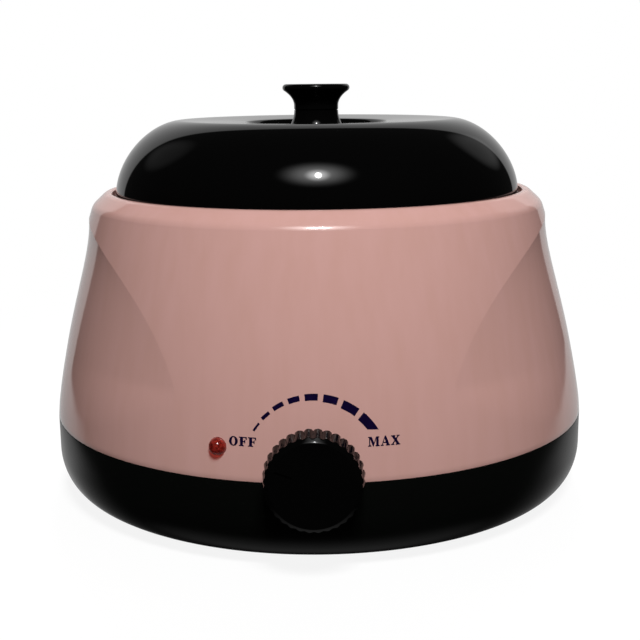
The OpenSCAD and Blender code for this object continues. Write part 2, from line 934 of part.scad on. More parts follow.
module lamp_holder() {
    clip_t = 2.4;
    color("#E8E4DA")
        facing(lamp_az, side_r(lamp_z) - wall - clip_t - 2 * lens_wall, lamp_z)
            difference() {
                cylinder(r = lens_r + 2, h = clip_t);
                translate([0, 0, -over])
                    cylinder(r = lens_r + seat_gap, h = clip_t + 2 * over);
            }
}

module neon_lamp() {
    glass_l = 10;
    color("#F3B48A")
        facing(lamp_az, side_r(lamp_z) - wall - lens_back - over - 4, lamp_z)
            union() {
                cylinder(r = lens_r - lens_wall - screw_gap, h = glass_l - 2);
                translate([0, 0, glass_l - 2])
                    sphere(r = lens_r - lens_wall - screw_gap);
            }
}

// Cord inlet and terminal block

module terminal_block() {
    way = block_w / (block_ways + 2);
    color("#EDEBE2")
        translate([0, block_y, pan_top_floor])
            difference() {
                translate([-block_w / 2, -block_l / 2, 0])
                    cube([block_w, block_l, block_h]);
                for (i = [0 : block_ways - 1])
                    translate([(i - (block_ways - 1) / 2) * way, 0, 0]) {
                        translate([0, block_l / 2 + over, block_h / 2])
                            rotate([90, 0, 0])
                                cylinder(d = 4.2, h = block_l + 2 * over);
                        translate([0, 0, block_h / 2])
                            cylinder(d = 4.4, h = block_h);
                    }
                for (x = [-1, 1])
                    translate([x * (block_w / 2 - 4), 0, -over])
                        cylinder(d = peg_d + 2 * screw_gap, h = block_h + 2 * over);
            }
}

module terminal_screws() {
    way = block_w / (block_ways + 2);
    color(steel)
        for (i = [0 : block_ways - 1])
            translate([(i - (block_ways - 1) / 2) * way, block_y, pan_top_floor + block_h / 2 + 2.2])
                cylinder(d = 4.4 - 2 * seat_gap, h = block_h / 2 - 3);
}

module cord_gland() {
    color(black)
        facing(180, gland_seat - gland_neck_l, cord_z)
            difference() {
                union() {
                    cylinder(d = gland_neck_d, h = gland_neck_l + gland_t);
                    translate([0, 0, gland_neck_l])
                        rotate_extrude()
                            polygon([
                                [0, 0], [gland_d / 2, 0], [gland_d / 2, gland_t / 2],
                                [gland_d / 2 - gland_t / 2, gland_t], [0, gland_t]
                            ]);
                }
                translate([0, 0, -over])
                    cylinder(d = cord_d, h = gland_neck_l + gland_t + 2 * over);
            }
}

module gland_nut() {
    color(black)
        facing(180, gland_seat - gland_pad - gland_nut_t, cord_z)
            hex_nut(gland_nut_flats, gland_nut_t, gland_neck_d + 2 * seat_gap);
}

// Lift-out pot with its bail

module wax_pot() {
    color(aluminium)
        rotate_extrude()
            polygon(concat(
                bowl_curve(pot_r, cup_floor, pot_rim_z, pot_corner),
                [[pot_rim_r, pot_rim_z], [pot_rim_r, pot_top]],
                reversed(bowl_curve(pot_inner_r, cup_floor + sheet, pot_top, pot_corner - sheet))
            ));
}

module bail_ears() {
    color(steel)
        for (side = [-1, 1])
            difference() {
                intersection() {
                    translate([side > 0 ? ear_inner : -pot_r, -ear_w / 2, bail_z - ear_h / 2])
                        cube([pot_r - ear_inner, ear_w, ear_h]);
                    cylinder(r = pot_inner_r, h = pot_top);
                }
                translate([side > 0 ? ear_inner - over : -pot_r, 0, bail_z])
                    rotate([0, 90, 0])
                        cylinder(d = wire_d + 2 * pivot_gap, h = pot_r - ear_inner + over);
            }
}

module pot_bail() {
    pin_end = pot_inner_r - pin_end_gap;
    pin_start = bail_r + bail_bend;
    color(steel)
        translate([0, 0, bail_z]) {
            translate([0, bail_bend, 0])
                rotate_extrude(angle = 180)
                    translate([bail_r, 0])
                        circle(d = wire_d);
            for (side = [0, 1])
                mirror([side, 0, 0]) {
                    translate([pin_start, bail_bend, 0])
                        rotate([0, 0, 180])
                            rotate_extrude(angle = 90)
                                translate([bail_bend, 0])
                                    circle(d = wire_d);
                    translate([pin_start, 0, 0])
                        rotate([0, 90, 0])
                            cylinder(d = wire_d, h = pin_end - pin_start);
                }
        }
}

// Lid: a domed ring with a sunk middle, whose boss carries the knob

function dome_curve(base_r, base_z, top_r, height) = [
    for (a = [0 : 4.5 : 85.5])
        let (out = pow(cos(a), 2 / dome_power), up = pow(sin(a), 2 / dome_power))
        [top_r + (base_r - top_r) * out, base_z + height * up]
];

// Flat top from the crest inwards, then the sunk middle's side down to its floor
function dish_curve(top_z) = concat(
    [[crest_r, top_z]],
    [for (i = [0 : 12])
        let (t = i / 12, fall = dish_depth - top_fall)
        [(dish_d - (dish_d - dish_floor_d) * t) / 2, top_z - top_fall - fall * (1 - cos(180 * t)) / 2]]
);

function boss_curve() = [
    for (i = [0 : 8])
        let (t = i / 8)
        [boss_d / 2 + boss_flare * (1 - t) * (1 - t), dish_z + (boss_z - dish_z) * t]
];

module lid() {
    color(gloss_black)
        difference() {
            rotate_extrude()
                polygon(concat(
                    [[skirt_r, pot_top]],
                    dome_curve(skirt_r, dome_z, crest_r, dome_h),
                    dish_curve(crest_z),
                    boss_curve(),
                    [[0, boss_z], [0, dish_z - lid_wall]],
                    reversed(dish_curve(crest_z - lid_wall)),
                    reversed(dome_curve(skirt_r - lid_wall, dome_z, crest_r, dome_h - lid_wall)),
                    [[skirt_r - lid_wall, pot_top]]
                ));
            translate([0, 0, dish_z - lid_wall - over])
                cylinder(d = knob_screw_head_d + 2, h = boss_z - boss_web - dish_z + lid_wall + over);
            translate([0, 0, dish_z])
                cylinder(d = knob_screw_d + 2 * screw_gap, h = boss_z - dish_z + over);
        }
}

module lid_knob() {
    neck_r = neck_d / 2;
    rim_start = -50;
    rim_r = neck_r + knob_flare - knob_round;
    flare_h = knob_h - neck_h - knob_round * (1 - sin(rim_start));
    flare_w = knob_flare - knob_round * (1 - cos(rim_start));
    color(gloss_black)
        translate([0, 0, boss_z])
            difference() {
                rotate_extrude()
                    polygon(concat(
                        [[0, 0], [neck_r - edge_chamfer, 0], [neck_r, edge_chamfer]],
                        [for (i = [0 : 8])
                            let (t = i / 8)
                            [neck_r + flare_w * pow(t, 2.3), neck_h + flare_h * t]],
                        [for (a = [rim_start + 20 : 20 : 90])
                            [rim_r + knob_round * cos(a), knob_h - knob_round + knob_round * sin(a)]],
                        [[0, knob_h]]
                    ));
                translate([0, 0, -over])
                    cylinder(d = knob_screw_d + 2 * seat_gap, h = knob_screw_grip + 2 * over);
            }
}

module lid_knob_screw() {
    seat_z = boss_z - boss_web;
    color(steel) {
        translate([0, 0, seat_z - knob_screw_head_h])
            cylinder(d = knob_screw_head_d, h = knob_screw_head_h);
        translate([0, 0, seat_z - knob_screw_head_h])
            cylinder(d = knob_screw_d, h = knob_screw_head_h + boss_web + knob_screw_grip);
    }
}

upper_housing();
base_pan();
foot_ring();
housing_screws();
heating_cup();
heater_band();
band_bolt();
band_nut();
insulation_sleeve();
thermal_cutout();
cutout_nuts();
thermostat_body();
thermostat_nut();
thermostat_bracket();
bracket_screws();
indicator_lens();
lamp_holder();
neon_lamp();
terminal_block();
terminal_screws();
cord_gland();
gland_nut();
thermostat_shaft();
control_dial();
wax_pot();
bail_ears();
pot_bail();
lid();
lid_knob();
lid_knob_screw();
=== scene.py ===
import math

import bpy
from mathutils import Matrix, Vector


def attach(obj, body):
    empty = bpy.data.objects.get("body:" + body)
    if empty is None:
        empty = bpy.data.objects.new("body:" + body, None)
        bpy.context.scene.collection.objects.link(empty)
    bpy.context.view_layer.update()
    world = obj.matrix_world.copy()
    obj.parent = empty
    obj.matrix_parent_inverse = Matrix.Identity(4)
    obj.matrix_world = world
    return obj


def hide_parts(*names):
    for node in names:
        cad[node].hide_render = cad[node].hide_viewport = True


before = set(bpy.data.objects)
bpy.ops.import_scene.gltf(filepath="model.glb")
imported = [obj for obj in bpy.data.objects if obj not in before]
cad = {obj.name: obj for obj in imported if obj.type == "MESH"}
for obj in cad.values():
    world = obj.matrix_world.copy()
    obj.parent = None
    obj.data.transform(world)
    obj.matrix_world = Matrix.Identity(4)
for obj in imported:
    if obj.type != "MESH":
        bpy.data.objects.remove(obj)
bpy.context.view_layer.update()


# Base pan: the black bowl that closes the body from below, one ABS moulding with a satin skin.
# It has a rounded corner, a groove for the rubber ring, cooling slots and four screw wells, and
# the housing stands on its edge, round a lip. Small roundings have one point in the middle of their
# arc, at a share arc_middle of their size.

body_r = 0.0927
wall = 0.0025
seam_z = 0.028
seam_round = 0.00025
pan_floor_z = 0.0025
pan_floor_r = 0.082
pan_corner_h = 0.0145
groove_in, groove_out, groove_depth = 0.05995, 0.06805, 0.0014
lip_in, lip_out, lip_low, lip_top = 0.0874, 0.0894, 0.023, 0.031
around_steps = 256
pole_r = 0.0002
arc_middle = 0.3
doubled, close_z, close_r = 2e-6, 1e-6, 1e-5


def linear(code):
    """An sRGB hex colour as the linear colour that a shader takes."""
    shares = [int(code[i:i + 2], 16) / 255 for i in (1, 3, 5)]
    return [c / 12.92 if c <= 0.04045 else ((c + 0.055) / 1.055) ** 2.4 for c in shares] + [1]


def add_node(tree, kind, inputs=None, **settings):
    """Adds a node with its settings; its inputs take values or other nodes' outputs."""
    node = tree.nodes.new(kind)
    for name, value in settings.items():
        setattr(node, name, value)
    for name, value in (inputs or {}).items():
        if isinstance(value, bpy.types.NodeSocket):
            tree.links.new(value, node.inputs[name])
        else:
            node.inputs[name].default_value = value
    return node


def noise(tree, place, patch, detail):
    """Noise between 0 and 1, in patches that are about this wide."""
    inputs = {"Vector": place, "Scale": 1 / patch, "Detail": detail}
    return add_node(tree, "ShaderNodeTexNoise", inputs).outputs["Fac"]


def scaled(tree, value, low, high, start=0, end=1, **settings):
    """A value from between start and end, moved to between low and high."""
    inputs = {"Value": value, "From Min": start, "From Max": end, "To Min": low, "To Max": high}
    return add_node(tree, "ShaderNodeMapRange", inputs, **settings).outputs["Result"]


def compute(tree, operation, *values):
    """The result of a calculation with two or three values."""
    return add_node(tree, "ShaderNodeMath", dict(enumerate(values)), operation=operation).outputs["Value"]


def blend(tree, share, first, second):
    """A colour between two others; the sockets of a colour mix go by number."""
    inputs = {0: share, 6: first, 7: second}
    return add_node(tree, "ShaderNodeMix", inputs, data_type="RGBA").outputs[2]


def mix_shaders(tree, share, first, second):
    """A surface between two others."""
    return add_node(tree, "ShaderNodeMixShader", {0: share, 1: first, 2: second}).outputs["Shader"]


def emboss(tree, shader, height, strength, distance):
    """Tilts a shader's surface by a height between 0 and 1, which stands for this distance."""
    inputs = {"Height": height, "Strength": strength, "Distance": distance}
    tree.links.new(add_node(tree, "ShaderNodeBump", inputs).outputs["Normal"], shader.inputs["Normal"])


def new_finish(name, sockets):
    """A material with one shader, whose constant sockets are set, and its Object coordinates."""
    finish = bpy.data.materials.new(name)
    finish.use_nodes = True
    tree = finish.node_tree
    tree.nodes.clear()
    shader = add_node(tree, "ShaderNodeBsdfPrincipled", sockets)
    add_node(tree, "ShaderNodeOutputMaterial", {"Surface": shader.outputs["BSDF"]})
    place = add_node(tree, "ShaderNodeTexCoord").outputs["Object"]
    return finish, tree, shader, place


def dress(piece, finish):
    """Gives a piece one finish all over."""
    piece.data.materials.clear()
    piece.data.materials.append(finish)


def turned(name, profile, steps, capped=True):
    """Extrudes a ring through radii and heights, as on a lathe; uncapped, the profile closes itself."""
    bpy.ops.object.select_all(action="DESELECT")
    r, z = profile[0]
    bpy.ops.mesh.primitive_circle_add(vertices=steps, radius=r)
    piece = bpy.context.object
    piece.name = name
    piece.data.name = name
    bpy.ops.object.mode_set(mode="EDIT")
    bpy.ops.transform.translate(value=(0, 0, z))
    if capped:
        bpy.ops.mesh.edge_face_add()
        bpy.ops.mesh.extrude_region_move()
    for next_r, next_z in profile[1:]:
        if not capped:
            bpy.ops.mesh.extrude_region_move()
        bpy.ops.transform.translate(value=(0, 0, next_z - z))
        bpy.ops.transform.resize(value=(next_r / r, next_r / r, 1), center_override=(0, 0, 0))
        r, z = next_r, next_z
        if capped and (next_r, next_z) != profile[-1]:
            bpy.ops.mesh.extrude_region_move()
    close_up()
    return piece


def close_up():
    """Merges doubled points, turns the faces outwards and leaves edit mode."""
    bpy.ops.mesh.select_all(action="SELECT")
    bpy.ops.mesh.remove_doubles(threshold=doubled)
    bpy.ops.mesh.normals_make_consistent(inside=False)
    bpy.ops.object.mode_set(mode="OBJECT")


def combine(piece, tool, operation):
    """Cuts a tool out of a piece or welds it on, and removes the tool."""
    bpy.ops.object.select_all(action="DESELECT")
    bpy.context.view_layer.objects.active = piece
    step = piece.modifiers.new("tool", "BOOLEAN")
    step.object = tool
    step.operation = operation
    step.solver = "EXACT"
    bpy.ops.object.modifier_apply(modifier=step.name)
    bpy.data.objects.remove(tool)


def rod(radius, low, high, place=(0, 0), steps=48):
    """An upright round tool between two heights."""
    bpy.ops.object.select_all(action="DESELECT")
    bpy.ops.mesh.primitive_cylinder_add(vertices=steps, radius=radius, depth=high - low)
    tool = bpy.context.object
    tool.data.transform(Matrix.Translation((*place, (low + high) / 2)))
    return tool


def block(size, middle):
    """A rectangular tool round a point."""
    bpy.ops.object.select_all(action="DESELECT")
    bpy.ops.mesh.primitive_cube_add(size=1)
    tool = bpy.context.object
    tool.data.transform(Matrix.Translation(middle) @ Matrix.Diagonal((*size, 1)))
    return tool


def select_edges(piece, chosen):
    """Selects the edges whose ends are both chosen by their place, in edit mode."""
    bpy.ops.object.mode_set(mode="EDIT")
    bpy.ops.mesh.select_all(action="DESELECT")
    bpy.ops.object.mode_set(mode="OBJECT")
    for edge in piece.data.edges:
        edge.select = all(chosen(piece.data.vertices[i].co) for i in edge.vertices)
    bpy.ops.object.mode_set(mode="EDIT")
    bpy.ops.mesh.select_mode(type="EDGE")


def smooth(piece, degrees=32):
    """Shades a piece smoothly, apart from edges that are sharper than an angle."""
    bpy.ops.object.select_all(action="DESELECT")
    bpy.context.view_layer.objects.active = piece
    piece.select_set(True)
    bpy.ops.object.shade_smooth_by_angle(angle=math.radians(degrees))


def corner_arc(floor_r, floor_z, out_r, height, count):
    """A bowl's corner, a quarter of an ellipse from its floor up to its side."""
    turns = [math.radians(90 * i / count) for i in range(count + 1)]
    width = out_r - floor_r
    return [(floor_r + width * math.sin(a), floor_z + height * (1 - math.cos(a))) for a in turns]


pan_inside_z = pan_floor_z + wall
pan_profile = [
    (pole_r, pan_floor_z),
    (groove_in, pan_floor_z),
    (groove_in, pan_floor_z + groove_depth),
    (groove_out, pan_floor_z + groove_depth),
    (groove_out, pan_floor_z),
    *corner_arc(pan_floor_r, pan_floor_z, body_r, pan_corner_h, count=30),
    (body_r, seam_z - seam_round),
    (body_r - arc_middle * seam_round, seam_z - arc_middle * seam_round),
    (body_r - seam_round, seam_z),
    (lip_out, seam_z),
    (lip_out, lip_top),
    (lip_in, lip_top),
    (lip_in, lip_low),
    (body_r - wall, lip_low),
    *reversed(corner_arc(pan_floor_r, pan_inside_z, body_r - wall, pan_corner_h - wall, count=12)),
    (pole_r, pan_inside_z),
]
base_pan = turned("pan_moulding", pan_profile, around_steps)

# Four screw pillars with their wells, the cooling slots, the boss and hole of the cord inlet, and a
# notch in the lip for the thermostat's bush.
screw_circle_r = 0.076
pillar_r, well_r, well_top, shank_r = 0.005, 0.00345, 0.0145, 0.00175
screw_places = []
for quarter_turn in range(4):
    turn = math.radians(45 + 90 * quarter_turn)
    screw_places.append((screw_circle_r * math.sin(turn), screw_circle_r * math.cos(turn)))
for place in screw_places:
    combine(base_pan, rod(pillar_r, pan_inside_z - wall / 2, seam_z, place), "UNION")
    combine(base_pan, rod(well_r, 0, well_top, place), "DIFFERENCE")
    combine(base_pan, rod(shank_r, 0, seam_z + wall, place), "DIFFERENCE")

slot_count, slot_r, slot_run, slot_start = 12, 0.0016, 0.0148, 0.023
for number in range(slot_count):
    slot = rod(slot_r, 0, 2 * pan_inside_z, steps=24)
    for point in slot.data.vertices:
        point.co.x += slot_start + (slot_run if point.co.x > 0 else 0)
    slot.data.transform(Matrix.Rotation(math.radians(360 * number / slot_count), 4, "Z"))
    combine(base_pan, slot, "DIFFERENCE")

inlet_z, inlet_seat_y, inlet_pad_r, inlet_pad_h, inlet_hole_r = 0.0165, 0.0929, 0.0085, 0.0065, 0.00515
for radius, near, far, operation in (
    (inlet_pad_r, inlet_seat_y - inlet_pad_h, inlet_seat_y, "UNION"),
    (inlet_hole_r, inlet_seat_y - 2 * inlet_pad_h, inlet_seat_y + wall, "DIFFERENCE"),
):
    tool = rod(radius, near, far)
    tool.data.transform(Matrix.Translation((0, 0, inlet_z)) @ Matrix.Rotation(math.radians(-90), 4, "X"))
    combine(base_pan, tool, operation)

bush_slot_w, bush_slot_deep, bush_slot_y = 0.018, 0.006, 0.0873
lip_notch = block((bush_slot_w, bush_slot_deep, 2 * (lip_top - seam_z)), (0, -bush_slot_y, lip_top))
combine(base_pan, lip_notch, "DIFFERENCE")
bpy.ops.object.mode_set(mode="EDIT")
close_up()
smooth(base_pan)

# Satin black ABS, moulded against an etched tool: dark, with a soft sheen that greys the sides.
# The etched grain is about 0.2 mm; it is drawn at 0.8 mm so that it shows at all.
pan_grain, pan_cloud = 0.0008, 0.03
satin_black, tree, shader, place = new_finish("satin_black_abs", {
    "Base Color": linear("#060706"),
    "IOR": 1.5,
    "Specular IOR Level": 0.12,
})
sheen = scaled(tree, noise(tree, place, pan_cloud, detail=2), 0.2, 0.27, start=0.3, end=0.7)
tree.links.new(sheen, shader.inputs["Roughness"])
emboss(tree, shader, noise(tree, place, pan_grain, detail=3), strength=0.12, distance=0.00005)
dress(base_pan, satin_black)
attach(base_pan, "housing")
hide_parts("base_pan")


# Foot ring and cord inlet: a rubber ring pressed into the pan's groove, and a nylon bush with a
# chamfered flange, screwed through the pan's rear. Both keep the shapes of their solids.

rubber_dust, nylon_fog = 0.002, 0.004
rubber, tree, shader, place = new_finish("moulded_rubber", {
    "Base Color": linear("#1C1C1B"), "IOR": 1.52, "Specular IOR Level": 0.25,
})
worn = scaled(tree, noise(tree, place, rubber_dust, detail=4), 0.6, 0.85)
tree.links.new(worn, shader.inputs["Roughness"])
dress(cad["foot_ring"], rubber)

black_nylon, tree, shader, place = new_finish("moulded_black_nylon", {
    "Base Color": linear("#131413"), "IOR": 1.53, "Specular IOR Level": 0.35,
})
haze = scaled(tree, noise(tree, place, nylon_fog, detail=3), 0.3, 0.5)
tree.links.new(haze, shader.inputs["Roughness"])
dress(cad["cord_gland"], black_nylon)
dress(cad["gland_nut"], black_nylon)


# Fasteners and brackets: zinc-plated steel, cut and pressed, with a faintly cloudy plating.

plating_cloud = 0.0015
plated_steel, tree, shader, place = new_finish("zinc_plated_steel", {
    "Base Color": linear("#C3C6C8"), "Metallic": 0.8,
})
cloudy = scaled(tree, noise(tree, place, plating_cloud, detail=4), 0.22, 0.42)
tree.links.new(cloudy, shader.inputs["Roughness"])
for node_name in (
    "housing_screws", "band_bolt", "band_nut", "cutout_nuts", "thermostat_nut", "thermostat_bracket",
    "bracket_screws", "terminal_screws", "thermostat_shaft", "lid_knob_screw", "bail_ears", "pot_bail",
):
    dress(cad[node_name], plated_steel)


# Heater and electrics, closed up inside the body: a mica band, a glass-fibre sleeve, a ceramic
# thermostat and cut-out, a nylon terminal block and lamp clip, and a small glow lamp.

patch_shade = 0.8
for finish_name, colour, roughness, patch, node_names in (
    ("mica_band", "#8C8578", 0.45, 0.006, ("heater_band",)),
    ("woven_glass_fibre", "#E2DCCB", 0.9, 0.0012, ("insulation_sleeve",)),
    ("glazed_ceramic", "#D8D2C4", 0.3, 0.004, ("thermal_cutout", "thermostat_body")),
    ("white_nylon", "#EAE7DE", 0.5, 0.003, ("terminal_block", "lamp_holder")),
    ("lamp_glass", "#E8B48C", 0.1, 0.002, ("neon_lamp",)),
):
    finish, tree, shader, place = new_finish(finish_name, {"Roughness": roughness})
    light, dark = linear(colour), [patch_shade * c for c in linear(colour)[:3]] + [1]
    mixed = blend(tree, noise(tree, place, patch, detail=3), dark, light)
    tree.links.new(mixed, shader.inputs["Base Color"])
    for node_name in node_names:
        dress(cad[node_name], finish)


# Heating cup and wax pot: bowls spun from aluminium sheet, with turned-out rims. The cup hangs in
# the housing's mouth by its flange, and the pot lifts out of it.

cup_floor, sheet, cup_r, cup_corner, flange_r = 0.0382, 0.0012, 0.0625, 0.005, 0.070
cup_ledge, pot_gap = 0.099, 0.0007
pot_r, pot_rim_r, pot_rim_z = 0.0606, 0.069, 0.1006
pot_corner = cup_corner + pot_gap
rim_bend, sheet_edge = 0.0008, 0.0002


def spun_bowl(name, floor_z, r, corner, rim_low, rim_r):
    """A sheet bowl with a rounded corner and a flat rim, as one closed profile."""
    inside = corner - sheet
    inner_bend = 2 * rim_bend
    low = floor_z - sheet
    return turned(name, [
        (pole_r, low),
        *corner_arc(r - corner, low, r, corner, count=10),
        (r, rim_low - rim_bend),
        (r + arc_middle * rim_bend, rim_low - arc_middle * rim_bend),
        (r + rim_bend, rim_low),
        (rim_r - sheet_edge, rim_low),
        (rim_r, rim_low + sheet / 2),
        (rim_r - sheet_edge, rim_low + sheet),
        (r - sheet + inner_bend, rim_low + sheet),
        (r - sheet + arc_middle * inner_bend, rim_low + sheet - arc_middle * inner_bend),
        (r - sheet, rim_low + sheet - inner_bend),
        *reversed(corner_arc(r - sheet - inside, floor_z, r - sheet, inside, count=10)),
        (pole_r, floor_z),
    ], around_steps)


heating_cup = spun_bowl("cup_spinning", cup_floor, cup_r, cup_corner, cup_ledge, flange_r)
wax_pot = spun_bowl("pot_spinning", cup_floor + sheet, pot_r, pot_corner, pot_rim_z, pot_rim_r)
smooth(heating_cup)
smooth(wax_pot)

# Spun aluminium: fine rings from the spinning tool, about 0.3 mm apart, drawn at 1.2 mm so that
# they show, with the brightness of bare sheet.
ring_pitch, scuff = 0.0012, 0.012
spun_aluminium, tree, shader, place = new_finish("spun_aluminium", {
    "Base Color": linear("#D3D5D6"), "Metallic": 0.75,
})
parts = add_node(tree, "ShaderNodeSeparateXYZ", {"Vector": place})
flat = add_node(tree, "ShaderNodeCombineXYZ", {"X": parts.outputs["X"], "Y": parts.outputs["Y"]})
out = add_node(tree, "ShaderNodeVectorMath", {0: flat.outputs["Vector"]}, operation="LENGTH")
along_sheet = compute(tree, "ADD", out.outputs["Value"], parts.outputs["Z"])
rings = add_node(tree, "ShaderNodeTexNoise", {
    "W": along_sheet, "Scale": 1 / ring_pitch, "Detail": 4,
}, noise_dimensions="1D").outputs["Fac"]
both = compute(tree, "ADD", rings, noise(tree, place, scuff, detail=5))
tree.links.new(scaled(tree, both, 0.32, 0.5, start=0.6, end=1.4), shader.inputs["Roughness"])
emboss(tree, shader, rings, strength=0.25, distance=0.0001)
for bowl, body, node_name in ((heating_cup, "housing", "heating_cup"), (wax_pot, "pot", "wax_pot")):
    dress(bowl, spun_aluminium)
    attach(bowl, body)
    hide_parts(node_name)


# Upper housing: the pink body, one ABS moulding with polished walls. Two hand grips are hollowed
# into its sides under a creased arch, a bevel leads to the mouth, and the cup hangs on its ledge.

shoulder_z, shoulder_r, side_bow = 0.0999, 0.0776, 0.0023
rim_z, rim_r, mouth_r = 0.104, 0.0731, 0.071
ledge_z, deck_z, deck_hole_r = 0.099, 0.0955, 0.064
grip_z, grip_rise, grip_fade = 0.052, 0.0446, 0.020
grip_half, grip_sweep = 59.4, 3.5
grip_depth, grip_growth, grip_full = 0.0011, 0.023, 1.5
crown_strip, crease_strip = 3, 0.3
bib_columns, grip_columns = 40, 24
quarter = bib_columns + grip_columns
low_rows, arch_rows, top_rows = 16, 44, 3
deck_clear, rim_soft = 0.001, 0.0004


def side_r(z):
    """Radius of the housing's side without the hand grips."""
    t = (z - seam_z) / (shoulder_z - seam_z)
    return body_r - (body_r - shoulder_r) * t + 4 * side_bow * t * (1 - t)


def grip_reach(along):
    """Half the angle that a hand grip spans at a share of its height: its creases sweep out below."""
    return grip_half + grip_sweep * (1 - min(1, abs(along))) ** 3


def grip_cut(phi, z):
    """Depth of a hand grip at an angle from the front, in degrees within a quarter turn."""
    up = z - grip_z
    along = up / (grip_rise if up > 0 else grip_fade)
    across = (90 - phi) / grip_reach(along)
    if across * across + along * along >= 1:
        return 0
    fuller = 1 + grip_full * (1 - abs(along)) ** 2
    inside = 1 - (across * across + along * along) ** fuller
    level = (1 - along * along) / (1 - abs(along) ** (2 * fuller))
    return grip_depth * math.exp(up / grip_growth) * level * inside


def column_angle(column, z):
    """Angle of a column of points, from the front all round: the columns gather on the crease."""
    turn, j = divmod(column, quarter)
    if turn % 2:
        j = quarter - j
    u = min(1, max(0, (z - grip_z) / grip_rise))
    crease = min(90 - crown_strip, 90 - grip_reach(u) * math.sqrt(1 - u * u))
    if j < bib_columns:
        phi = (crease - crease_strip) * j / (bib_columns - 1)
    elif j == bib_columns:
        phi = crease
    else:
        start = crease + crease_strip
        phi = start + (90 - start) * (j - bib_columns - 1) / (grip_columns - 1)
    return (turn + 1) * 90 - phi if turn % 2 else turn * 90 + phi


side_low, arch_top = seam_z + seam_round, grip_z + grip_rise
side_rows = [side_low + (grip_z - seam_z - seam_round) * i / low_rows for i in range(low_rows)]
arch_turns = [math.radians(90 * i / arch_rows) for i in range(arch_rows + 1)]
side_rows += [grip_z + grip_rise * math.sin(a) for a in arch_turns]
side_rows += [arch_top + (shoulder_z - grip_z - grip_rise) * i / top_rows for i in range(1, top_rows + 1)]
inner_rows = [row for row in reversed(side_rows) if row < deck_z - deck_clear]
upper_housing = turned("housing_moulding", [
    (body_r - seam_round, seam_z),
    (body_r - arc_middle * seam_round, seam_z + arc_middle * seam_round),
    *[(side_r(row), row) for row in side_rows],
    (rim_r, rim_z),
    (mouth_r + rim_soft, rim_z),
    (mouth_r, rim_z - rim_soft),
    (mouth_r, ledge_z),
    (deck_hole_r, ledge_z),
    (deck_hole_r, deck_z),
    (side_r(deck_z) - wall, deck_z),
    *[(side_r(row) - wall, row) for row in inner_rows],
    (body_r - wall, seam_z),
    (body_r - seam_round, seam_z),
], 4 * quarter, capped=False)

for point in upper_housing.data.vertices:
    x, y, z = point.co
    r = math.hypot(x, y)
    column = round(math.degrees(math.atan2(x, -y)) * quarter / 90) % (4 * quarter)
    row = min(shoulder_z, max(seam_z, z))
    phi = column_angle(column, row)
    folded = min(phi % 180, 180 - phi % 180)
    if r > mouth_r + wall or z < ledge_z - wall:
        r -= grip_cut(folded, row)
    turn = math.radians(phi)
    point.co = (r * math.sin(turn), -r * math.cos(turn), z)

# Rounded shoulder and rim, a hole for the thermostat's bush, open at the seam, and one for the lamp.
shoulder_soft, rim_edge_soft = 0.0012, 0.0009
for edge_r, edge_z, soft in ((shoulder_r, shoulder_z, shoulder_soft), (rim_r, rim_z, rim_edge_soft)):
    select_edges(upper_housing, lambda p: (
        abs(p.z - edge_z) < close_z and abs(math.hypot(p.x, p.y) - edge_r) < close_r
    ))
    bpy.ops.mesh.bevel(offset=soft, offset_type="OFFSET", segments=4, profile=0.5)
    bpy.ops.mesh.select_mode(type="VERT")
    bpy.ops.object.mode_set(mode="OBJECT")

dial_z, notch_r = 0.0318, 0.004
notch = rod(notch_r, body_r - 3 * wall, body_r + 3 * wall)
for point in notch.data.vertices:
    if point.co.y < 0:
        point.co.y -= dial_z - seam_z
notch.data.transform(Matrix.Translation((0, 0, dial_z)) @ Matrix.Rotation(math.radians(90), 4, "X"))
combine(upper_housing, notch, "DIFFERENCE")

lens_r, lamp_turn, lamp_z, lens_fit = 0.00265, math.radians(-17.7), 0.0377, 0.00005
lamp_hole = rod(lens_r + lens_fit, side_r(lamp_z) - 3 * wall, side_r(lamp_z) + wall)
face_front = Matrix.Translation((0, 0, lamp_z)) @ Matrix.Rotation(math.radians(90), 4, "X")
lamp_hole.data.transform(Matrix.Rotation(lamp_turn, 4, "Z") @ face_front)
combine(upper_housing, lamp_hole, "DIFFERENCE")
smooth(upper_housing, degrees=40)

# Pink ABS, moulded against a polished tool: a clean gloss with a very slight orange peel, and faint
# upright streaks about 5 mm wide, painted reflection streaks in the colour, along which the gloss changes
# too.
streak_width, streak_length, peel = 0.005, 0.09, 0.003
pink_abs, tree, shader, place = new_finish("polished_pink_abs", {
    "IOR": 1.53, "Specular IOR Level": 0.5,
})
streak_place = add_node(tree, "ShaderNodeMapping", {
    "Vector": place, "Scale": (1 / streak_width, 1 / streak_width, 1 / streak_length),
})
sheen_streaks = noise(tree, streak_place.outputs["Vector"], patch=1, detail=3)
painted_streaks = scaled(tree, sheen_streaks, 0, 1, start=0.25, end=0.75)
# Painted reflection streaks: the colour is a little lighter and darker along them.
tint = blend(tree, painted_streaks, linear("#C4988F"), linear("#C89C95"))
tree.links.new(tint, shader.inputs["Base Color"])
tree.links.new(scaled(tree, sheen_streaks, 0.05, 0.09), shader.inputs["Roughness"])
emboss(tree, shader, noise(tree, place, peel, detail=1), strength=0.04, distance=0.0001)
dress(upper_housing, pink_abs)
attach(upper_housing, "housing")
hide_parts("upper_housing")


# Printed scale: eight dashes round the dial that grow from OFF to MAX, and the two words, pad
# printed in navy ink on the housing's side. Each mark is a thin skin of ink on the curved wall.

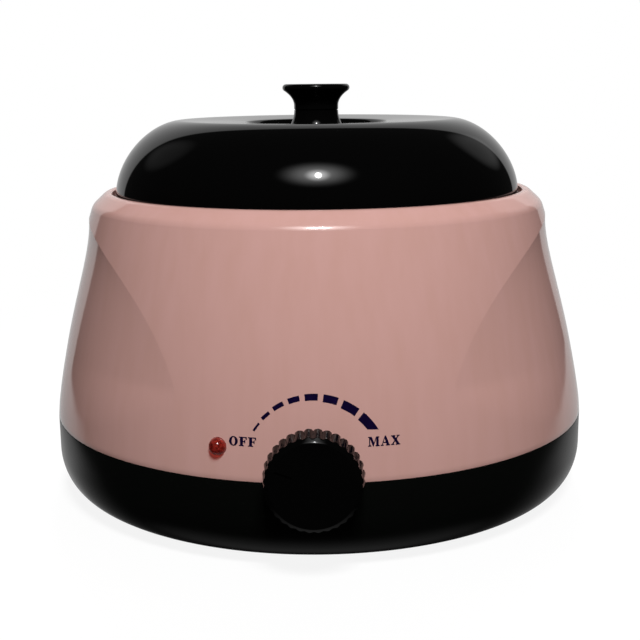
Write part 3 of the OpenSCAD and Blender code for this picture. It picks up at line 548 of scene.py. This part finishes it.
print_r = 0.092
ink_sunk, ink_lift, ink_spread = 0.00003, 0.00005, 0.00005
dash_gap, dash_first = 4.5, 147.4
dash_spans = (7.2, 7.4, 8.8, 9.0, 10.2, 11.6, 13.4, 17.1)
last_dash_cut, dash_steps = 5.6, 6
dash_widths = (0.00055, 0.00095, 0.00125, 0.0015, 0.0018, 0.0021, 0.0024, 0.0026)
dash_outers = (0.0211, 0.0215, 0.0218, 0.0219, 0.022, 0.022, 0.0219, 0.0219)
letter_gap = 1.5
letter_shapes = {
    "F": (8.2, [[
        (0, 0), (5.2, 0), (5.2, 0.6), (4, 0.9), (4, 4.7), (5.2, 4.7), (5.8, 4.2), (6.1, 3.2), (6.5, 3.2),
        (6.5, 6.9), (6.1, 6.9), (5.8, 5.9), (5.2, 5.4), (4, 5.4), (4, 9.3), (6, 9.3), (7, 8.8), (7.6, 7.2),
        (8.2, 7.2), (8, 10), (0, 10), (0, 9.4), (1.2, 9.1), (1.2, 0.9), (0, 0.6),
    ]]),
    "M": (12.4, [[
        (0, 0), (3.2, 0), (3.2, 0.6), (2.1, 0.9), (2.1, 8), (5.3, 0), (5.9, 0), (9, 8.2), (9, 0.9),
        (8, 0.6), (8, 0), (12.4, 0), (12.4, 0.6), (11.4, 0.9), (11.4, 9.1), (12.4, 9.4), (12.4, 10),
        (9, 10), (6.4, 3.4), (3.9, 10), (0, 10), (0, 9.4), (1.2, 9.1), (1.2, 0.9), (0, 0.6),
    ]]),
    "A": (10.2, [[
        (0, 0), (3, 0), (3, 0.6), (2, 0.9), (2.7, 2.9), (6.1, 2.9), (6.8, 0.9), (5.8, 0.6), (5.8, 0),
        (10.2, 0), (10.2, 0.6), (9.4, 0.9), (6, 10.2), (4.9, 10.2), (1.3, 0.9), (0, 0.6),
    ], [(3, 3.6), (5.8, 3.6), (4.35, 7.6)]]),
    "X": (10.2, [[
        (0, 0), (3.4, 0), (3.4, 0.6), (2.3, 0.9), (4.4, 4), (6.3, 0.9), (5.3, 0.6), (5.3, 0), (10.2, 0),
        (10.2, 0.6), (9.3, 0.9), (6.1, 5.9), (8.5, 9.1), (9.7, 9.4), (9.7, 10), (6.5, 10), (6.5, 9.4),
        (7.5, 9.1), (5.6, 6.6), (4, 9.1), (4.9, 9.4), (4.9, 10), (0.1, 10), (0.1, 9.4), (1, 9.1),
        (3.9, 4.7), (1.2, 0.9), (0, 0.6),
    ]]),
}
bowl_x, bowl_y, bowl_sizes, bowl_steps = 4.6, 5, ((4.6, 5.2), (2.0, 4.4)), 24
bowl_turns = [math.radians(360 * i / bowl_steps) for i in range(bowl_steps)]
letter_shapes["O"] = (2 * bowl_x, [
    [(bowl_x + across * math.cos(a), bowl_y + high * math.sin(a)) for a in bowl_turns]
    for across, high in bowl_sizes
])


def spread(outline, distance):
    """An outline with its edges moved outwards, as ink runs under the pad."""
    points = [Vector(point) for point in outline]
    area = sum(a.cross(b) for a, b in zip(points, points[1:] + points[:1]))
    moved = []
    for before, here, after in zip(points[-1:] + points, points, points[1:] + points[:1]):
        edges = (here - before).normalized() + (after - here).normalized()
        out = Vector((edges.y, -edges.x)) * math.copysign(1, area)
        moved.append(here + out * 2 * distance / max(1, out.length_squared))
    return moved


def ink_mark(name, outlines):
    """A filled outline with its holes, in metres along and up the side, laid on the wall as ink."""
    drawing = bpy.data.curves.new(name, "CURVE")
    drawing.dimensions = "2D"
    drawing.fill_mode = "BOTH"
    for number, outline in enumerate(outlines):
        line = drawing.splines.new("POLY")
        line.points.add(len(outline) - 1)
        for point, (along, up) in zip(line.points, spread(outline, -ink_spread if number else ink_spread)):
            point.co = (along, up, 0, 1)
        line.use_cyclic_u = True
    mark = bpy.data.objects.new(name, drawing)
    bpy.context.scene.collection.objects.link(mark)
    bpy.ops.object.select_all(action="DESELECT")
    bpy.context.view_layer.objects.active = mark
    mark.select_set(True)
    bpy.ops.object.convert(target="MESH")
    bpy.ops.object.mode_set(mode="EDIT")
    bpy.ops.mesh.select_all(action="SELECT")
    bpy.ops.mesh.remove_doubles(threshold=close_z)
    bpy.ops.mesh.extrude_region_move(TRANSFORM_OT_translate={"value": (0, 0, ink_lift + ink_sunk)})
    close_up()
    for point in mark.data.vertices:
        along, up, lift = point.co
        r = side_r(up) - ink_sunk + lift
        turn = along / print_r
        point.co = (r * math.sin(turn), -r * math.cos(turn), up)
    smooth(mark)
    return mark


def dash_turns(start, span):
    """Angles along a dash, from its left end on."""
    return [math.radians(start - span * i / dash_steps) for i in range(dash_steps + 1)]


marks = []
dash_start = dash_first
for number, (span, width, outer) in enumerate(zip(dash_spans, dash_widths, dash_outers)):
    turns = dash_turns(dash_start, span)
    outer_edge = [(outer * math.cos(a), dial_z + outer * math.sin(a)) for a in turns]
    if number == len(dash_spans) - 1:
        turns = dash_turns(dash_start, span - last_dash_cut)
    inner_edge = [((outer - width) * math.cos(a), dial_z + (outer - width) * math.sin(a)) for a in turns]
    marks.append(ink_mark(f"scale_dash_{number + 1}", [outer_edge + inner_edge[::-1]]))
    dash_start -= span + dash_gap

for word, start, base, unit, stretch in (
    ("OFF", -0.0249, 0.0384, 0.00026, 1.09), ("MAX", 0.0156, 0.0384, 0.00027, 0.98),
):
    pen = start
    for number, letter in enumerate(word):
        width, outlines = letter_shapes[letter]
        outlines = [
            [(pen + stretch * unit * across, base + unit * up) for across, up in outline]
            for outline in outlines
        ]
        marks.append(ink_mark(f"word_{word.lower()}_{number + 1}", outlines))
        pen += stretch * unit * (width + letter_gap)

# Navy pad-printing ink: flat and slightly matt, with a little unevenness from the pad.
pad_patch = 0.0015
navy_ink, tree, shader, place = new_finish("navy_printing_ink", {"IOR": 1.5, "Specular IOR Level": 0.2})
pad = noise(tree, place, pad_patch, detail=3)
tree.links.new(blend(tree, pad, linear("#0A0320"), linear("#10062B")), shader.inputs["Base Color"])
tree.links.new(scaled(tree, pad, 0.25, 0.4), shader.inputs["Roughness"])
for mark in marks:
    dress(mark, navy_ink)
    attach(mark, "housing")


# Lamp lens: a red acrylic dome on a short barrel, pushed through the housing from inside, with the
# glow lamp behind it.

lens_wall, lens_barrel = 0.0005, 0.0075
bpy.ops.object.select_all(action="DESELECT")
bpy.ops.mesh.primitive_uv_sphere_add(segments=48, ring_count=32, radius=lens_r)
lens = bpy.context.object
lens.name = "lamp_dome"
lens.data.name = "lamp_dome"
bpy.ops.object.mode_set(mode="EDIT")
bpy.ops.mesh.select_all(action="SELECT")
bpy.ops.mesh.bisect(plane_co=(0, 0, 0), plane_no=(0, 0, 1), clear_inner=True)
select_edges(lens, lambda p: abs(p.z) < close_z)
bpy.ops.mesh.extrude_region_move(TRANSFORM_OT_translate={"value": (0, 0, -lens_barrel)})
bpy.ops.mesh.extrude_region_move()
inner = (lens_r - lens_wall) / lens_r
bpy.ops.transform.resize(value=(inner, inner, 1), center_override=(0, 0, 0))
bpy.ops.mesh.extrude_region_move(TRANSFORM_OT_translate={"value": (0, 0, lens_barrel - 2 * lens_wall)})
bpy.ops.mesh.edge_face_add()
bpy.ops.mesh.select_mode(type="VERT")
close_up()
lens_out = Matrix.Translation((0, 0, side_r(lamp_z)))
lens.data.transform(Matrix.Rotation(lamp_turn, 4, "Z") @ face_front @ lens_out)
smooth(lens)

# Red acrylic: clear and deep, polished by the mould, with flecks about 0.8 mm wide of lighter and darker
# red, painted glints off its stippled inside. Light that falls through it is red, so its shadow on the
# body is red too.
lens_fleck = 0.0008
red_acrylic, tree, shader, place = new_finish("red_acrylic", {
    "IOR": 1.49, "Transmission Weight": 0.55,
})
depth = noise(tree, place, lens_fleck, detail=2)
painted_glints = scaled(tree, depth, 0, 1, start=0.32, end=0.68)
# The flecks are painted glints: lighter and darker red in the colour, where light catches the stippled
# inside.
tree.links.new(blend(tree, painted_glints, linear("#5A100C"), linear("#B43A2E")), shader.inputs["Base Color"])
tree.links.new(scaled(tree, depth, 0.04, 0.09), shader.inputs["Roughness"])
tinted = add_node(tree, "ShaderNodeBsdfTransparent", {"Color": linear("#C87868")})
shaded = add_node(tree, "ShaderNodeLightPath").outputs["Is Shadow Ray"]
cast = mix_shaders(tree, shaded, shader.outputs["BSDF"], tinted.outputs["BSDF"])
output = next(node for node in tree.nodes if node.type == "OUTPUT_MATERIAL")
tree.links.new(cast, output.inputs["Surface"])
dress(lens, red_acrylic)
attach(lens, "housing")
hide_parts("indicator_lens")


# Control dial: a black ABS knob, a tapered grip with thirty-two round flutes on a plain collar, pushed
# on the thermostat's shaft. It is open at the back, and a short groove in its face points at the scale.

dial_r, dial_h, dial_back, dial_taper = 0.01455, 0.0116, 0.0936, 0.0006
collar_r, collar_h, collar_wall, dial_edge = 0.011, 0.0044, 0.002, 0.0002
chamfer_w, chamfer_h, face_soft = 0.00145, 0.0012, 0.00025
flutes, flute_back_h, flute_front_h, flute_steps = 32, 0.00075, 0.00035, 16
hub_r, shaft_hole_r, face_t = 0.0055, 0.00305, 0.0024
pointer_turn = math.radians(160)
pointer_from, pointer_long, pointer_w, pointer_deep = 0.0065, 0.005, 0.001, 0.0005
flute_r = math.pi * dial_r / flutes
grip_end = dial_h - chamfer_h
front_r = dial_r - dial_taper
face_r = front_r - chamfer_w


def grip_r(height):
    """Radius of the grip over its flutes at a height above its back."""
    return dial_r - dial_taper * min(1, max(0, (height - collar_h) / (grip_end - collar_h)))


grip_steps = 6
grip_low, grip_long = collar_h + dial_edge, grip_end - collar_h - dial_edge
grip_rows = [grip_low + grip_long * i / grip_steps for i in range(grip_steps + 1)]
chamfer_rows = (0.07, 0.14, 0.2, 0.26, 0.45, 0.65, 0.84)
face_edge = ((0.3, 0.35), (-0.3, 0.05), (-1, 0))
control_dial = turned("dial_moulding", [
    (pole_r, dial_h - face_t),
    (shaft_hole_r, dial_h - face_t),
    (shaft_hole_r, 0),
    (hub_r, 0),
    (hub_r, dial_h - face_t),
    (collar_r - collar_wall, dial_h - face_t),
    (collar_r - collar_wall, 0),
    (collar_r, 0),
    (collar_r, collar_h),
    (dial_r - flute_back_h - dial_edge, collar_h),
    (dial_r - dial_edge, collar_h),
    *[(grip_r(h), h) for h in grip_rows],
    *[(front_r - chamfer_w * t, grip_end + chamfer_h * t) for t in chamfer_rows],
    *[(face_r + out * face_soft, dial_h - down * face_soft) for out, down in face_edge],
    (pole_r, dial_h),
], flutes * flute_steps)
flute_half = math.pi / flutes
for point in control_dial.data.vertices:
    x, y, height = point.co
    r = math.hypot(x, y)
    if r > collar_r + dial_edge and height > collar_h - dial_edge:
        share = min(1, max(0, (height - collar_h) / (grip_end - collar_h)))
        valley_r = dial_r - dial_taper * share - flute_back_h + (flute_back_h - flute_front_h) * share
        turn = math.atan2(y, x) % (2 * flute_half) - flute_half
        middle_r = grip_r(height) - flute_r
        aside = middle_r * math.sin(turn)
        bump_r = middle_r * math.cos(turn) + math.sqrt(max(0, flute_r * flute_r - aside * aside))
        fluted = min(r, max(valley_r, bump_r))
        point.co.x *= fluted / r
        point.co.y *= fluted / r
pointer = block((pointer_long, pointer_w, 2 * pointer_deep), (pointer_from + pointer_long / 2, 0, dial_h))
pointer.data.transform(Matrix.Rotation(pointer_turn, 4, "Z"))
combine(control_dial, pointer, "DIFFERENCE")
dial_place = Matrix.Translation((0, -dial_back, dial_z)) @ Matrix.Rotation(math.radians(90), 4, "X")
control_dial.data.transform(dial_place)
smooth(control_dial, degrees=35)

# Gloss black ABS: deep black, polished by the mould, with faint smears from handling, about 20 mm
# across, in the gloss. The dial's is duller, because fingers turn it.
smear, handled_gloss = 0.02, 0.075
gloss_black, tree, shader, place = new_finish("gloss_black_abs", {
    "Base Color": linear("#040404"), "IOR": 1.52, "Specular IOR Level": 0.15,
})
gloss = scaled(tree, noise(tree, place, smear, detail=4), 0.03, 0.06, start=0.35, end=0.7)
tree.links.new(gloss, shader.inputs["Roughness"])
handled_black = gloss_black.copy()
handled_black.name = "handled_black_abs"
handled_black.node_tree.nodes[shader.name].inputs["Specular IOR Level"].default_value = handled_gloss
dress(control_dial, handled_black)
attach(control_dial, "dial")
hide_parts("control_dial")


# Lid: a glossy black ABS ring dome that drops into the housing's mouth. Its flat top sinks in the
# middle, and the boss that rises there carries the knob.

skirt_r, skirt_z, dome_z, crest_r, crest_z = 0.0696, 0.1018, 0.1033, 0.047, 0.1277
lid_wall, dome_power, top_fall = 0.0022, 1.75, 0.0008
dish_r, dish_floor_r, dish_z, dish_ease = 0.02475, 0.016, 0.121, 0.78
boss_r, boss_flare, boss_z, screw_pocket_r, screw_pocket_top = 0.0076, 0.0052, 0.1307, 0.0045, 0.1267
skirt_soft, dish_gather, flat_shares = 0.0005, 1.5, (0.25, 0.5, 0.75)


def dome(base_r, base_z, height, count):
    """The dome from the skirt up to its crest, between an ellipse and a straight slope."""
    turns = [math.radians(90 * i / count) for i in range(count + 1)]
    bend = 2 / dome_power
    return [
        (crest_r + (base_r - crest_r) * max(0, math.cos(a)) ** bend, base_z + height * math.sin(a) ** bend)
        for a in turns
    ]


def sunk_top(lowered, count):
    """The flat top from the crest inwards and the side of the sunk middle, down to its floor."""
    edge_z = crest_z - top_fall - lowered
    fall = edge_z - dish_z + lowered
    shares = [(i / count) ** dish_gather for i in range(count + 1)]
    flat = [(crest_r + (dish_r - crest_r) * t, crest_z - lowered - top_fall * t) for t in flat_shares]
    width = dish_r - dish_floor_r
    return flat + [
        (dish_r - width * t, edge_z - fall * (1 - math.cos(math.pi * t ** dish_ease)) / 2)
        for t in shares
    ]


boss_rows = 14
boss = [i / boss_rows for i in range(boss_rows + 1)]
lid = turned("lid_moulding", [
    (pole_r, boss_z),
    *[(boss_r + boss_flare * (1 - t) ** 2, dish_z + (boss_z - dish_z) * t) for t in reversed(boss)],
    *reversed(sunk_top(0, count=24)),
    *reversed(dome(skirt_r, dome_z, crest_z - dome_z, count=60)),
    (skirt_r, skirt_z + skirt_soft),
    (skirt_r - skirt_soft, skirt_z),
    (skirt_r - lid_wall, skirt_z),
    *dome(skirt_r - lid_wall, dome_z, crest_z - dome_z - lid_wall, count=30),
    *sunk_top(lid_wall, count=12),
    (screw_pocket_r, dish_z - lid_wall),
    (screw_pocket_r, screw_pocket_top),
    (pole_r, screw_pocket_top),
], around_steps)
smooth(lid, degrees=40)
dress(lid, gloss_black)
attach(lid, "cover")
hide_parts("lid")


# Lid knob: a flared black ABS button with a round rim on the boss, held from below by one screw, with
# a fine groove where it meets the boss.

knob_h, neck_r, neck_h, neck_soft = 0.0088, 0.00765, 0.0013, 0.0004
knob_flare, knob_round = 0.00395, 0.00125
knob_hole_r, knob_hole_h, flare_power = 0.00205, 0.005, 2.3
flare_rows, rim_rows, knob_steps = 20, 14, 128
rim_from = math.radians(-50)
knob_rim_r = neck_r + knob_flare - knob_round
flare_h = knob_h - neck_h - knob_round * (1 - math.sin(rim_from))
flare_w = knob_flare - knob_round * (1 - math.cos(rim_from))
rim_turns = [rim_from + (math.pi / 2 - rim_from) * i / rim_rows for i in range(1, rim_rows + 1)]
flare = [i / flare_rows for i in range(flare_rows + 1)]
lid_knob = turned("knob_moulding", [
    (pole_r, boss_z + knob_hole_h),
    (knob_hole_r, boss_z + knob_hole_h),
    (knob_hole_r, boss_z),
    (neck_r - neck_soft, boss_z),
    (neck_r, boss_z + neck_soft),
    *[(neck_r + flare_w * t ** flare_power, boss_z + neck_h + flare_h * t) for t in flare],
    *[(knob_rim_r + knob_round * math.cos(a), boss_z + knob_h - knob_round * (1 - math.sin(a)))
      for a in rim_turns],
    (neck_r, boss_z + knob_h),
    (pole_r, boss_z + knob_h),
], knob_steps)
smooth(lid_knob, degrees=40)
dress(lid_knob, gloss_black)
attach(lid_knob, "cover")
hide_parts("lid_knob")


# Studio: a white floor that keeps a faint shadow, a small lamp high in front, a large soft one beside
# it, and three behind. Gloss shows a dark room, with a grey screen behind the object, the same
# grey on the floor there, a window to either side of the screen, two glows round the small lamp, and a
# faint one from the floor straight below.

floor_size, floor_drop = 6.0, 0.0001
backdrop_light = 0.6
shadow_near, shadow_far, shadow_share = 0.12, 0.36, 0.11
mirror_middle, mirror_in, mirror_out = (0, 0.25, 0), 0.28, 0.33
bpy.ops.object.select_all(action="DESELECT")
bpy.ops.mesh.primitive_plane_add(size=floor_size, location=(0, 0, -floor_drop))
floor = bpy.context.object
floor.name = "studio_floor"
floor_paper = bpy.data.materials.new("white_paper")
floor_paper.use_nodes = True
tree = floor_paper.node_tree
tree.nodes.clear()
path = add_node(tree, "ShaderNodeLightPath")
place = add_node(tree, "ShaderNodeTexCoord").outputs["Object"]
reach = add_node(tree, "ShaderNodeVectorMath", {0: place}, operation="LENGTH").outputs["Value"]
near = scaled(tree, reach, 1, 0, shadow_near, shadow_far, interpolation_type="SMOOTHSTEP")
mirror_reach = add_node(tree, "ShaderNodeVectorMath", {
    0: place, 1: mirror_middle,
}, operation="DISTANCE").outputs["Value"]
mirror_near = scaled(tree, mirror_reach, 1, 0, mirror_in, mirror_out, interpolation_type="SMOOTHSTEP")
shade = compute(tree, "MULTIPLY", near, shadow_share)
plain = add_node(tree, "ShaderNodeBsdfDiffuse", {"Color": linear("#525250")})
lit = add_node(tree, "ShaderNodeBsdfDiffuse", {"Color": (1, 1, 1, 1)})
white = add_node(tree, "ShaderNodeEmission", {"Color": (1, 1, 1, 1), "Strength": 1.0})
pale = add_node(tree, "ShaderNodeEmission", {"Color": (1, 1, 1, 1), "Strength": backdrop_light})
clear = add_node(tree, "ShaderNodeBsdfTransparent")
seen = mix_shaders(tree, shade, white.outputs["Emission"], lit.outputs["BSDF"])
mirrored = mix_shaders(tree, mirror_near, clear.outputs["BSDF"], pale.outputs["Emission"])
unseen = mix_shaders(tree, path.outputs["Is Glossy Ray"], plain.outputs["BSDF"], mirrored)
surface = mix_shaders(tree, path.outputs["Is Camera Ray"], unseen, seen)
add_node(tree, "ShaderNodeOutputMaterial", {"Surface": surface})
dress(floor, floor_paper)

world = bpy.data.worlds.new("studio")
bpy.context.scene.world = world
world.use_nodes = True
tree = world.node_tree
tree.nodes.clear()
path = add_node(tree, "ShaderNodeLightPath")
direction = add_node(tree, "ShaderNodeTexCoord").outputs["Generated"]
backdrop_side, backdrop_up, backdrop_half, backdrop_soft = 184, 5, 38.5, 2
even_light, room_light = 0.02, 0.02
# A glow has its angles to the right and up, its squeeze across, half its width, its fall-off and its
# light. A window has its angles and its light.
glows = ((1, 53, 0.9, 20, 3.5, 11.0), (2, 52, 1.3, 9, 2.0, 30.0), (180, -88, 0.6, 30, 1.0, 0.35))
windows, window_half, window_soft = ((-126, 33, 0.14), (138, 26, 0.3)), 6, 9


def way(side, up):
    """The direction at an angle to the right of the front and an angle above the floor."""
    side, up = math.radians(side), math.radians(up)
    return Vector((math.sin(side) * math.cos(up), -math.cos(side) * math.cos(up), math.sin(up)))


def nearness(ray, side, up):
    """Cosine of the angle between a ray and a direction."""
    inputs = {0: ray, 1: way(side, up)}
    return add_node(tree, "ShaderNodeVectorMath", inputs, operation="DOT_PRODUCT").outputs["Value"]


def bright_disc(side, up, half, soft, dark, light):
    """A round bright place with a soft edge."""
    edge, inside = math.cos(math.radians(half + soft)), math.cos(math.radians(half))
    near = nearness(direction, side, up)
    return scaled(tree, near, dark, light, edge, inside, interpolation_type="SMOOTHSTEP")


in_gloss = bright_disc(
    backdrop_side, backdrop_up, backdrop_half, backdrop_soft, room_light, backdrop_light,
)
for side, up, narrow, half, fall, light in glows:
    squeezed = add_node(tree, "ShaderNodeVectorMath", {
        0: direction, 1: (narrow, 1, 1),
    }, operation="MULTIPLY")
    aimed = add_node(tree, "ShaderNodeVectorMath", {0: squeezed.outputs["Vector"]}, operation="NORMALIZE")
    toward = nearness(aimed.outputs["Vector"], side, up)
    near_lamp = scaled(tree, toward, 0, 1, start=math.cos(math.radians(half)))
    in_gloss = compute(tree, "MULTIPLY_ADD", compute(tree, "POWER", near_lamp, fall), light, in_gloss)
for side, up, light in windows:
    in_gloss = compute(tree, "ADD", in_gloss, bright_disc(side, up, window_half, window_soft, 0, light))
open_view = compute(tree, "MAXIMUM", path.outputs["Is Camera Ray"], path.outputs["Is Transmission Ray"])
lighting = scaled(tree, path.outputs["Is Glossy Ray"], even_light, in_gloss)
strength = scaled(tree, open_view, lighting, 1)
sky = add_node(tree, "ShaderNodeBackground", {"Color": (1, 1, 1, 1), "Strength": strength})
add_node(tree, "ShaderNodeOutputWorld", {"Surface": sky.outputs["Background"]})

target = Vector((0, 0, 0.06))
for lamp_name, side, rise, distance, width, height, watts, seen_in_gloss in (
    ("front_lamp", 2, 51, 1.2, 0.06, 0.14, 2.5, True),
    ("soft_lamp", 9, 50, 1.5, 0.4, 0.4, 21.0, False),
    ("left_back_lamp", -162, 38, 1.4, 0.8, 0.8, 3.0, False),
    ("right_back_lamp", 162, 38, 1.4, 0.8, 0.8, 4.0, False),
    ("back_lamp", 180, 45, 1.4, 0.6, 0.6, 12.0, False),
):
    away = way(side, rise)
    bpy.ops.object.light_add(type="AREA", location=target + distance * away)
    lamp = bpy.context.object
    lamp.name = lamp_name
    lamp.rotation_euler = (-away).to_track_quat("-Z", "Y").to_euler()
    lamp.data.shape = "ELLIPSE"
    lamp.data.size = width
    lamp.data.size_y = height
    lamp.data.energy = watts
    lamp.visible_glossy = seen_in_gloss

# The camera stands in front at table height, just right of the dial, and looks down a little.
view_turn, view_distance, view_height = math.radians(1.0), 0.399, 0.141
view_pitch, view_yaw, view_roll = math.radians(78), math.radians(0.914), math.radians(-0.57)
sensor_mm, lens_mm, nearest = 36, 63.68, 0.01
bpy.ops.object.camera_add(location=(
    view_distance * math.sin(view_turn), -view_distance * math.cos(view_turn), view_height,
))
camera = bpy.context.object
camera.data.sensor_width = sensor_mm
camera.data.lens = lens_mm
camera.data.clip_start = nearest
view_aim = Matrix.Rotation(view_yaw, 3, "Z") @ Matrix.Rotation(view_pitch, 3, "X")
camera.rotation_euler = (view_aim @ Matrix.Rotation(view_roll, 3, "Z")).to_euler()
bpy.context.scene.camera = camera
bpy.context.scene.view_settings.view_transform = "Standard"
